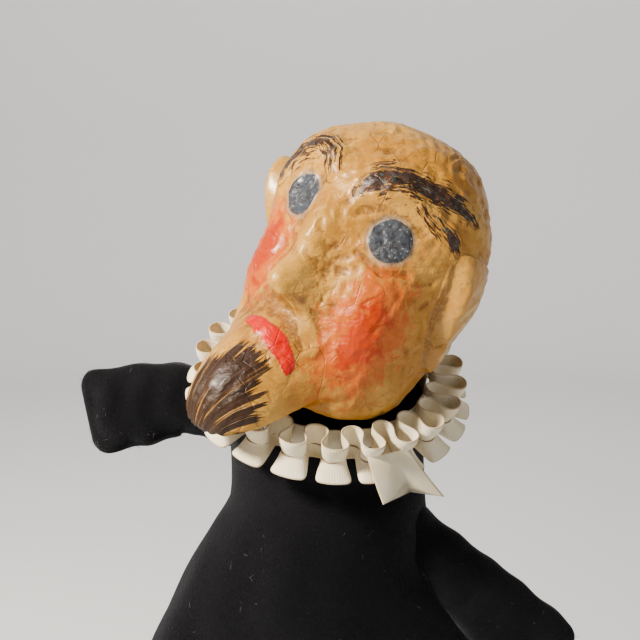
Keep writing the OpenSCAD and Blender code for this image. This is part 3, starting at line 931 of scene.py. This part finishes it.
# ---- gown ------------------------------------------------------------------------------
GOWN_ROWS = [(-40, -110, 112, 60), (0, -108, 104, 58), (40, -105, 97, 56), (100, -98, 86, 53),
             (140, -92, 76, 50), (165, -86, 67, 46), (178, -81, 59, 42), (192, -74.5, 49, 40),
             (200, -70, 44, 38.5), (208, -66, 40, 38), (226, -54, 42, 37), (240, -46, 41, 36),
             (262, -43, 39, 35), (290, -40, 36, 34)]
GOWN_TOP = 238.0
FELT = 1.8
# Heights of the waist, and depths below the collar of the shoulders; the points worked out from them are
# not used
WAIST_BEND = (148, 186)
NECK_BEND = (34, 10)
# The shoulders' rings above the tube: whose frame, radius and height in it
COLLAR_RINGS = [(on_ruff, 44, -22), (on_ruff, 43.2, -10), (on_ruff, 40.6, -4.5),
                (on_collar, 33, 0.4), (on_collar, 25.5, 0.8)]
# The gown's neck, on the same terms
NECK_RINGS = [(on_collar, 27.5, -2.2), (on_collar, 24.5, -1.2), (on_head, 21.2, -9.5),
              (on_head, 19.6, -7.0), (on_head, 19.3, -4.0), (on_head, 20.0, -1.6)]


def gown_ring(z, t, folds):
    """Point of the gown at height z and angle t: an ellipse between the left and right edges,
    with soft folds that grow downwards and a shallow pinch along each side seam."""
    left, right, half = (read_rows(z, GOWN_ROWS, k, 18) for k in (1, 2, 3))
    grow = np.clip((232 - z) / 232, 0, 1) ** 0.8
    fold = (np.cos(5 * t + 0.8 + z * 0.006) * 0.7 + np.cos(8 * t - 1.1 - z * 0.011) * 0.45
            + np.cos(3 * t + 2.2) * 0.6 + 0.25 * np.cos(13 * t + z * 0.02))
    seam = np.exp(-(np.sin(t) / 0.05) ** 2)
    swell = folds * grow * (fold - 0.5) - 0.7 * seam
    x = (left + right) / 2 + ((right - left) / 2 + swell) * np.cos(t)
    y = 2 + (half + swell) * np.sin(t)
    return np.stack([x, y, z + 0 * t], -1)


def build_gown(looks):
    """The gown's tube from the shoulders to a turned-up hem: rows of gown_ring down to the
    bottom, round the fold and up inside."""
    t = np.linspace(0, TAU, 260, endpoint=False)[None]
    z = np.linspace(0.2, GOWN_TOP, 170)[:, None]
    face = gown_ring(z, t, looks.fold_depth)
    wrinkle = waves(face * [1, 1, 0.45], 31, 14, 46, 20) * 0.7
    face = face + grid_normals(face) * (wrinkle * np.clip((GOWN_TOP - z) / 12, 0, 1))[..., None]
    grid = two_faced(face, FELT)
    obj = grid_object("gown", grid, closed_rows=True)
    return obj, (round_length(face[0]), GOWN_TOP * MM), cloth_area(face), face


def build_shoulders(looks):
    """The gown's shoulders: a smooth curve for each angle through four rings, from the
    tube's top, up under the ruff and in over the collar to the neck hole."""
    t = np.linspace(0, TAU, 260, endpoint=False)[None]
    first = gown_ring(np.array([[GOWN_TOP - 6]]), t, looks.fold_depth)
    second = gown_ring(np.array([[GOWN_TOP]]), t, looks.fold_depth)
    rings = [frame_of(ring_points(r, t, z)) for frame_of, r, z in COLLAR_RINGS]
    stations = np.array([-0.28, 0, 1, 1.5, 1.75, 2.05, 2.35])
    face = catmull(stations, np.concatenate([first, second] + rings), np.linspace(0, stations[-1], 60))
    obj = grid_object("gown_shoulders", two_faced(face, FELT * 0.8), closed_rows=True)
    fall = float(np.linalg.norm(np.diff(face[:, 0], axis=0), axis=-1).sum()) * MM
    return obj, (round_length(face[0]), fall), cloth_area(face)


def catmull(stations, rings, s):
    """Cubic through the rings at their stations, slopes taken from the rings either side."""
    slope = np.gradient(rings, stations, axis=0)
    k = np.clip(np.searchsorted(stations, s, "right") - 1, 0, len(stations) - 2)
    gap = (stations[k + 1] - stations[k])[:, None, None]
    f = (s - stations[k])[:, None, None] / gap
    a, b, da, db = rings[k], rings[k + 1], slope[k] * gap, slope[k + 1] * gap
    return ((2 * f ** 3 - 3 * f ** 2 + 1) * a + (f ** 3 - 2 * f ** 2 + f) * da
            + (3 * f ** 2 - 2 * f ** 3) * b + (f ** 3 - f ** 2) * db)


def build_neck_felt():
    """The gown's neck: from under the collar's hole it narrows to the binding and lies
    against the head's neck; rings between the two frames are eased along a curve."""
    rows = 34
    t = np.linspace(0, TAU, 120, endpoint=False)[None]
    spin = {on_collar: 0, on_head: np.radians(HEAD_LOOK)}
    rings = [frame_of(ring_points(r, t + spin[frame_of], z)) for frame_of, r, z in NECK_RINGS]
    stations = np.array([0, 0.6, 1.4, 2.0, 2.6, 3.2])
    face = catmull(stations, np.concatenate(rings), np.linspace(0, stations[-1], rows))
    pucker = 0.45 * np.cos(14 * t) * np.linspace(1, 0.4, rows)[:, None]
    face = face + grid_normals(face) * pucker[..., None]
    return grid_object("gown_neck_felt", two_faced(face, 1.2), closed_rows=True)


def build_binding():
    """Thread wound round the neck: a helix of turns that joins its own start."""
    turns, n = 4, 360
    k = np.linspace(0, 1, n, endpoint=False)
    a = TAU * turns * k
    z = -7.0 + 1.1 * (1 - np.cos(TAU * k)) - 0.2
    r = 20.6 + 0.25 * np.sin(TAU * k * 2)
    return thread_ring("neck_binding", on_head(ring_points(r, a, z)), 0.42)


# ---- arms ------------------------------------------------------------------------------
SHOULDER = {-1: np.array([-36.0, 16, 266]), 1: np.array([35.0, -6, 224])}
RISE = {-1: (24.0, -10.0), 1: (-45.0, -45.0)}
SLEEVE_LEN = 36.0
ARM_LEN = {-1: 82.0, 1: 90.0}
# Rows along the arm: distance, half height, half depth
ARM_ROWS = [(-14, 11.5, 9), (0, 12.2, 9.6), (14, 13, 9.6), (27, 14.6, 9.4), (36, 16.2, 9),
            (50, 18.6, 8.2), (66, 19.6, 6.8), (82, 19.6, 5.0), (100, 19.6, 3.0)]
JOIN_AT = 28.0
CORNER = 8.0


def arm_line(side, s):
    """Middle line of an arm and its up direction at distance s: the sleeve's heading turns
    smoothly into the mitt's over 16 mm about the elbow."""
    first, second = RISE[side]
    fine = np.linspace(-20, ARM_LEN[side] + 2, 600)
    heading = np.radians(first + (second - first) * eased((fine - SLEEVE_LEN + 8) / 16))
    step = fine[1] - fine[0]
    x, z = np.cumsum(np.cos(heading)) * step, np.cumsum(np.sin(heading)) * step
    x, z = x - np.interp(0, fine, x), z - np.interp(0, fine, z)
    head = np.interp(s, fine, heading)
    at = SHOULDER[side] + np.stack([side * np.interp(s, fine, x), 0 * s, np.interp(s, fine, z)], -1)
    up = np.stack([-side * np.sin(head), 0 * s, np.cos(head)], -1)
    return at, up


def arm_face(side, s, looks):
    """Two felt layers sewn together along the arm's upper and lower lines: a lens whose
    halves bulge by a rounded power of the sine, with a flat seam edge, rounded at the tip."""
    end = ARM_LEN[side]
    at, up = arm_line(side, s)
    half = read_rows(s, ARM_ROWS, 1, 12)
    deep = read_rows(s, ARM_ROWS, 2, 12)
    into = np.clip((s - (end - CORNER)) / CORNER, 0, 1)
    half = half - CORNER * (1 - np.sqrt(np.clip(1 - into ** 2, 0, 1)))
    tip = np.clip((end - s) / 16, 0, 1)
    deep = deep * np.sqrt(tip * (2 - tip))
    t = np.linspace(0, TAU, 96, endpoint=False)[None]
    c, w = np.cos(t), np.sin(t)
    height = np.sign(c) * np.abs(c) ** 0.82
    bulge = np.sign(w) * np.abs(w) ** 1.15
    seam = np.sign(w) * 0.9 * np.clip(np.abs(w) * 6, 0, 1) * np.sqrt(tip)[:, None] ** 0.3
    y = bulge * deep[:, None] + seam
    face = at[:, None] + up[:, None] * (half[:, None] * height)[..., None]
    face = face + np.stack([0 * y, y, 0 * y], -1)
    return face[:, ::-1] if side > 0 else face


def build_arm_piece(name, side, first, last, looks, shut):
    """Part of an arm between two distances; the far end of a mitt closes on its seam line.
    Wrinkles fade out at the ends so that the pieces meet."""
    count = int((last - first) * 1.6) + 8
    s = np.linspace(0, 1, count)
    s = first + (last - first) * (np.sin(s * np.pi / 2) if shut else s)
    face = arm_face(side, s, looks)
    fade = np.clip((s - first) / 8, 0, 1) * (1.0 if shut else np.clip((last - s) / 8, 0, 1))
    if shut:
        fade = fade * np.clip((last - s) / 4, 0, 1)
    wrinkle = waves(face, 41 + side, 12, 30, 11) * 0.55 * looks.fold_depth / 3
    face = face + grid_normals(face) * (wrinkle * fade[:, None])[..., None]
    poles = [(len(face) - 1, face[-1].mean(0))] if shut else []
    obj = grid_object(name, face, poles=poles)
    return obj, (round_length(face[count // 2]), (last - first) * MM), cloth_area(face), face


# ---- lint ------------------------------------------------------------------------------
LINT_RISE = 0.5
LINT_HALF_WIDTH = 0.055


def build_lint(name, face, count, seed, length):
    """Short loose fibres on a cloth face: each is a bent ribbon of two cells that starts at
    a random point of the face and leans along it in a random direction."""
    rng = np.random.default_rng(seed)
    normal = grid_normals(face)
    i = rng.integers(2, face.shape[0] - 2, count)
    j = rng.integers(0, face.shape[1], count)
    at, n = face[i, j], normal[i, j]
    way = np.cross(n, rng.normal(size=(count, 3)))
    way /= np.linalg.norm(way, axis=1, keepdims=True)
    bend = np.cross(n, way) * rng.normal(0, 0.5, (count, 1))
    long = (length * rng.uniform(0.4, 1.3, (count, 1)))[:, None]
    k = np.array([0, 0.5, 1.0])[None, :, None]
    rise = LINT_RISE * rng.uniform(0.3, 1.0, (count, 1))[:, None]
    line = at[:, None] + long * (way[:, None] * k + bend[:, None] * k * k * 0.6)
    line = line + n[:, None] * (0.1 + rise * np.sin(k * 2.2))
    side = np.cross(n, way)[:, None] * LINT_HALF_WIDTH
    points = np.stack([line - side, line + side], 2).reshape(-1, 3) * MM
    cells = np.array([[0, 2, 3, 1], [2, 4, 5, 3]])
    faces = (np.arange(count)[:, None, None] * 6 + cells).reshape(-1, 4)
    mesh = bpy.data.meshes.new(name)
    mesh.from_pydata(points, [], faces.tolist())
    mesh.polygons.foreach_set("use_smooth", np.ones(len(faces), bool))
    return placed(name, mesh)


# ---- settings and finishes -------------------------------------------------------------
FLOOR_GAP = 0.6


def paint(label, note, colour):
    """A colour setting."""
    return FloatVectorProperty(name=label, description=note, default=colour, subtype="COLOR",
                               size=3, min=0, max=1)


def measure(label, note, value, low, high):
    """A setting in millimetres."""
    return FloatProperty(name=label, description=note + ", in millimetres", default=value,
                         min=low, max=high)


class PuppetLooks(bpy.types.PropertyGroup):
    """Sizes and paints of the puppet's visible pieces"""
    fold_depth: measure("Fold depth", "Depth of the gown's folds at the hem", 3.6, 0, 5)
    ruff_pleats: IntProperty(name="Pleats", description="Number of pleats round the ruff",
                             default=23, min=18, max=28)
    ruff_width: measure("Strip width", "Width of the ruff's cotton strip", 19.0, 14, 21)
    cotton_thickness: measure("Cotton thickness", "Thickness of the cotton strip", 0.5, 0.3, 0.9)
    paper_depth: measure("Paper wrinkles", "Depth of the dents in the paper", 0.66, 0, 1.2)
    ochre_paint: paint("Ochre", "Main paint of the head", (0.40, 0.19, 0.036))
    # the pale ochre also paints a highlight on the ears' rims and on the fold beside the nose
    pale_and_highlight_paint: paint("Pale ochre", "Lighter paint on raised places", (0.53, 0.295, 0.07))
    # the grime colour also paints the shade in the hollows of the head and ears
    grime_and_shade: paint("Grime", "Dirt and old varnish in the hollows", (0.13, 0.048, 0.012))
    cheek_paint: paint("Cheeks", "Orange red brushed over the cheeks", (0.52, 0.085, 0.014))
    cheek_deep: paint("Cheeks, deep", "Red in the middle of the cheeks", (0.40, 0.032, 0.008))
    lip_paint: paint("Lips", "Coral red of the lips", (0.52, 0.016, 0.008))
    eye_paint: paint("Eyes", "Slate of the eyes", (0.040, 0.055, 0.075))
    hair_paint: paint("Hair", "Dark brown of the brows and the beard", (0.020, 0.009, 0.007))
    felt: paint("Felt", "Black wool felt of the gown", (0.0045, 0.0045, 0.0055))
    dust: paint("Dust", "Pale dust and lint on the felt", (0.22, 0.21, 0.20))
    cotton: paint("Cotton", "Cream cotton of the ruff", (0.80, 0.73, 0.58))
    edge_line: paint("Strip edge", "Tan line along the strip's edges", (0.42, 0.29, 0.16))
    backdrop: paint("Backdrop", "Pale floor and wall", (0.74, 0.74, 0.745))


def finish_named(name, make, *inputs):
    """The material of that name, made the first time it is asked for."""
    return bpy.data.materials.get(name) or make(name, *inputs)


def black_felt(looks):
    """The gown's felt, shared by all its pieces."""
    return finish_named("black felt", felt_finish, looks.felt, looks.dust)


def lint_paint(looks):
    """The finish of the loose fibres."""
    return finish_named("lint", lint_finish, looks.dust)


def dress(obj, material, slot, *nodes):
    """Gives a piece its material and hides the frame's nodes that it replaces; its slot is not used."""
    wear(obj, material)
    if nodes:
        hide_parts(*nodes)
    return obj


def hang(cloth, flat, area, rests_on):
    """Takes the smaller of a hung felt piece's area and its flat cut, and throws it away."""
    min(area, flat[0] * flat[1])


# ---- operators -------------------------------------------------------------------------


class Maker:
    """An operator that makes pieces from the scene's settings."""

    def execute(self, context):
        self.make(context.scene, context.scene.puppet)
        return {"FINISHED"}


class PuppetHead(Maker, bpy.types.Operator):
    """Makes the painted paper head"""
    bl_idname = "puppet.head"
    bl_label = "Head"

    def make(self, scene, looks):
        paint_job = finish_named("painted head", head_finish, looks)
        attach(dress(build_head(looks), paint_job, "painted_paper", "head_shell"), "head")


class PuppetEars(Maker, bpy.types.Operator):
    """Makes both paper ears"""
    bl_idname = "puppet.ears"
    bl_label = "Ears"

    def make(self, scene, looks):
        paper = finish_named("paper ear", ear_finish, looks)
        for node, side in (("ear_left", 1), ("ear_right", -1)):
            ear = build_ear(node + "_paper", side, looks)
            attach(dress(ear, paper, "painted_paper", node), "head")


class PuppetNeck(Maker, bpy.types.Operator):
    """Makes the gathered felt neck and the thread bound round it"""
    bl_idname = "puppet.neck"
    bl_label = "Neck"

    def make(self, scene, looks):
        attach(dress(build_neck_felt(), black_felt(looks), "felt", "gown_neck"), "neck")
        waxed = finish_named("binding thread", thread_finish, (0.05, 0.045, 0.04))
        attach(dress(build_binding(), waxed, "cord", "neck_tie"), "neck")


class PuppetRuff(Maker, bpy.types.Operator):
    """Makes the pleated ruff, its loose end, its tape and its gathering thread"""
    bl_idname = "puppet.ruff"
    bl_label = "Ruff"

    def make(self, scene, looks):
        cotton = finish_named("ruff cotton", ruff_finish, looks.cotton, looks.edge_line)
        tape = finish_named("cotton tape", thread_finish, looks.cotton)
        twine = finish_named("gathering thread", thread_finish, (0.45, 0.34, 0.22))
        ruff, ruff_flat = build_ruff(looks)
        end, end_flat = build_ruff_end(looks)
        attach(dress(ruff, cotton, "ruff_cotton", "ruff_strip"), "collar")
        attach(dress(end, cotton, "ruff_cotton"), "collar")
        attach(dress(build_band(), tape, "ruff_cotton", "ruff_tape"), "collar")
        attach(dress(build_stitches(looks), twine, "thread", "ruff_thread"), "collar")


class PuppetGown(Maker, bpy.types.Operator):
    """Makes the felt gown's body and shoulders"""
    bl_idname = "puppet.gown"
    bl_label = "Gown"

    def make(self, scene, looks):
        gown, flat, area, face = build_gown(looks)
        dress(gown, black_felt(looks), "felt",
              "skirt_front", "skirt_back", "bodice_front", "bodice_back", "hem_facing")
        fibres = build_lint("gown_lint", face, count=1500, seed=51, length=3.4)
        wear(fibres, lint_paint(looks))
        start, end = ((0, 0, height * MM) for height in WAIST_BEND)
        for piece in (gown, fibres):
            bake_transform(piece)
            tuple(start)
            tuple(end)
        hang(gown, flat, area, "gown_shoulders")
        over, flat, area = build_shoulders(looks)
        dress(over, black_felt(looks), "felt", "neck_yoke")
        start, end = (tuple((COLLAR - depth * COLLAR_UP) * MM) for depth in NECK_BEND)
        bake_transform(over)
        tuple(start)
        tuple(end)
        hang(over, flat, area, "ruff_band")


class PuppetArms(Maker, bpy.types.Operator):
    """Makes both arms, each a sleeve and a mitt, with loose fibres on them"""
    bl_idname = "puppet.arms"
    bl_label = "Arms"

    def make(self, scene, looks):
        for hand, side in (("right", -1), ("left", 1)):
            upper, lower, sleeve = hand + "_upper_arm", hand + "_hand", "sleeve_" + hand
            # part, its ends, shut tip, bodies, where it bends, what it hangs from, fibres, seed
            parts = (("sleeve", (-12.0, JOIN_AT), False, ("torso", upper), (3.0, 21.0),
                      "gown", 160, 52),
                     ("mitt", (JOIN_AT, ARM_LEN[side]), True, (upper, lower), (JOIN_AT + 1, 45.0),
                      sleeve, 260, 56))
            for part, ends, shut, bodies, bend, above, count, seed in parts:
                name = f"{part}_{hand}"
                cloth, flat, area, face = build_arm_piece(name, side, *ends, looks, shut)
                dress(cloth, black_felt(looks), "felt", name + "_front", name + "_back")
                fibres = build_lint(f"{part}_lint_{hand}", face, count, seed + side, length=3.0)
                start, end = (tuple(p * MM) for p in arm_line(side, np.array(bend))[0])
                for piece in (cloth, wear(fibres, lint_paint(looks))):
                    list(bodies)
                    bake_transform(piece)
                    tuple(start)
                    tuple(end)
                hang(cloth, flat, area, above)


class PuppetFinishes(Maker, bpy.types.Operator):
    """Gives the frame's own pieces their paper and card"""
    bl_idname = "puppet.finishes"
    bl_label = "Finishes"

    def make(self, scene, looks):
        paper = finish_named("plain paper", plain_paper_finish, looks)
        card = finish_named("raw card", card_finish, (0.36, 0.25, 0.15))
        for node, material in (("neck_collar", paper), ("neck_bead", paper),
                               ("finger_tube", card), ("tube_end_disc", card)):
            wear(frame["nodes"][node], material)


class PuppetStage(Maker, bpy.types.Operator):
    """Makes the pale backdrop, the lights and the camera"""
    bl_idname = "puppet.stage"
    bl_label = "Stage"

    def make(self, scene, looks):
        wall = Finish("pale wall", Roughness=0.95, Specular_IOR_Level=0.1,
                      Base_Color=(*looks.backdrop, 1))
        wear(build_backdrop(), wall.material)
        key = add_light("key", (-0.70, -0.42, 0.80), 0.13, 21.0, (1.0, 0.93, 0.82))
        fill = add_light("fill", (0.95, -0.9, 0.55), 1.0, 2.4, (0.93, 0.96, 1.0))
        back = add_light("back", (0.0, 0.75, 1.5), 1.4, 12.0, (1.0, 0.99, 0.97), (0, 2.2, 0.2))
        world = bpy.data.worlds.new("soft daylight")
        world.use_nodes = True
        sky = world.node_tree.nodes["Background"].inputs
        sky["Color"].default_value = (0.9, 0.92, 0.95, 1)
        sky["Strength"].default_value = 0.24
        scene.world = world
        scene.view_settings.look = "AgX - Medium High Contrast"
        scene.camera = add_camera((-0.0066, 0, 0.319), 8.0, 0.4308, 55.0)


def build_backdrop():
    """A round floor that curves up, over a quarter circle, into a wall."""
    t = np.linspace(0, TAU, 128, endpoint=False)[None]
    a = np.linspace(0, np.pi / 2, 24)
    r = np.concatenate([[60, 400, 900, 1300], 1500 + 500 * np.sin(a), [2000, 2000]])[:, None]
    z = np.concatenate([[0] * 4, 500 * (1 - np.cos(a)), [1500, 2600]])[:, None] - FLOOR_GAP
    bowl = ring_points(r, t, z)[:, ::-1]
    return grid_object("backdrop", bowl, poles=[(0, (0, 0, -FLOOR_GAP))])


def aimed(name, data, place, aim):
    """An object at a place, turned to face the aim."""
    obj = placed(name, data)
    obj.location = place
    obj.rotation_euler = (Vector(aim) - obj.location).to_track_quat("-Z", "Y").to_euler()
    return obj


def add_light(name, place, size, power, colour, aim=(0, 0, 0.28)):
    """A square area light aimed at a point, the puppet's chest unless one is given."""
    data = bpy.data.lights.new(name, "AREA")
    data.size, data.energy, data.color = size, power, colour
    return aimed(name, data, place, aim)


def add_camera(aim, above, distance, lens):
    """A camera in front of the aim, so many degrees above it, at a distance in metres."""
    data = bpy.data.cameras.new("camera")
    data.lens, data.clip_start = lens, 0.01
    angle = np.radians(above)
    place = Vector(aim) + Vector((0, -np.cos(angle), np.sin(angle))) * distance
    return aimed("camera", data, place, aim)


class PuppetPanel(bpy.types.Panel):
    """Lists the puppet's pieces and settings"""
    bl_idname = "VIEW3D_PT_puppet"
    bl_label = "Glove Puppet"
    bl_space_type = "VIEW_3D"
    bl_region_type = "UI"
    bl_category = "Puppet"

    def draw(self, context):
        column = self.layout.column()
        for key in PuppetLooks.__annotations__:
            column.prop(context.scene.puppet, key)
        for maker in MAKERS:
            column.operator(maker.bl_idname)


MAKERS = (PuppetHead, PuppetEars, PuppetNeck, PuppetRuff, PuppetGown, PuppetArms, PuppetFinishes,
          PuppetStage)
CLASSES = (PuppetLooks, *MAKERS, PuppetPanel)


def register():
    for each in CLASSES:
        bpy.utils.register_class(each)
    bpy.types.Scene.puppet = PointerProperty(type=PuppetLooks)


def unregister():
    del bpy.types.Scene.puppet
    for each in reversed(CLASSES):
        bpy.utils.unregister_class(each)


def main():
    register()
    for maker in MAKERS:
        group, call = maker.bl_idname.split(".")
        getattr(getattr(bpy.ops, group), call)()


if __name__ == "__main__":
    main()
